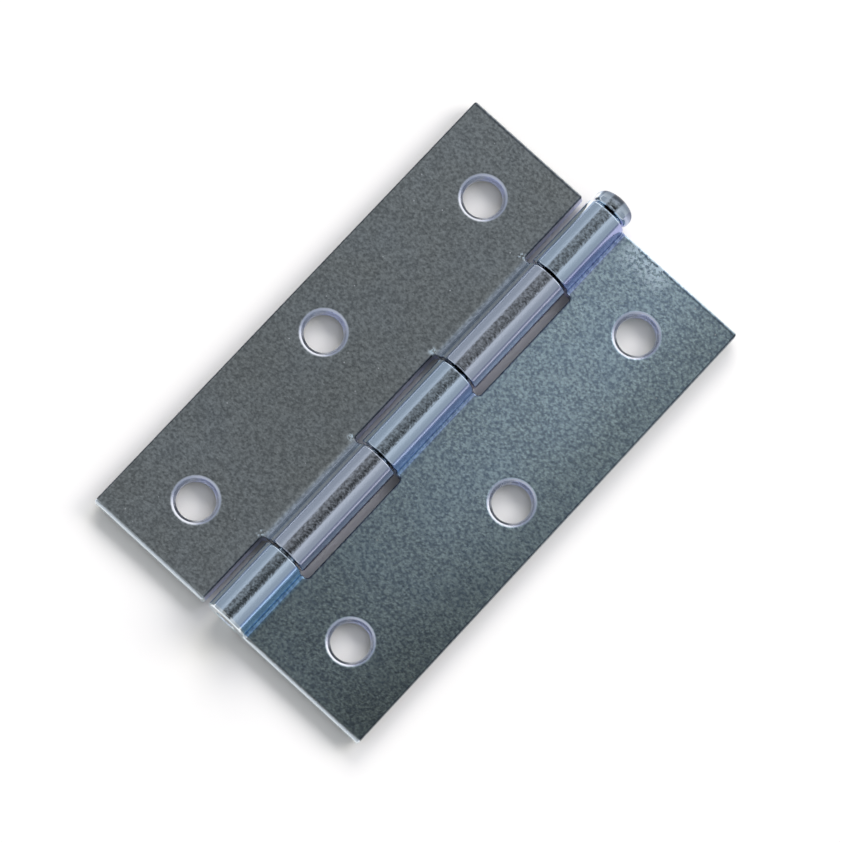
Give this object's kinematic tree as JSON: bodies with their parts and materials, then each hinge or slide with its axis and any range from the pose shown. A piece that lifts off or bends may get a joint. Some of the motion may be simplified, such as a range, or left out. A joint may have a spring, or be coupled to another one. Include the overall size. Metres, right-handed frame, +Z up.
{
  "type": "loose pin butt hinge",
  "caption": "Butt hinge of zinc-plated sheet steel: countersunk leaves with interleaved rolled knuckles swing about a loose headed pin that lifts out.",
  "frame": {"origin": "under the barrel, on the plane that it rests on, half way along the hinge from leaf end to the top of the pin head", "axes": "+X across the hinge towards the leaf with three knuckles, +Y along the pin towards its head, +Z up, out of the countersunk faces"},
  "size_m": [0.048, 0.079, 0.0063],
  "materials": {
    "leaf_plate": "bright zinc plate, finely mottled on the flats and smooth on the rolled barrel",
    "pin_plate": "bright zinc plate, smooth"
  },
  "bodies": {
    "fixed_leaf": {"three_knuckle_leaf": "leaf_plate"},
    "swing_leaf": {"two_knuckle_leaf": "leaf_plate"},
    "pin": {"hinge_pin": "pin_plate"}
  },
  "joints": [
    {"name": "leaf_swing", "type": "hinge", "parent": "fixed_leaf", "child": "swing_leaf", "pos_m": [0, 0, 0.00315], "axis": [0, 1, 0], "range_deg": [-115, 183]},
    {"name": "pin_slide", "type": "slide", "parent": "fixed_leaf", "child": "pin", "axis": [0, 1, 0], "range_m": [0, 0.08]}
  ]
}
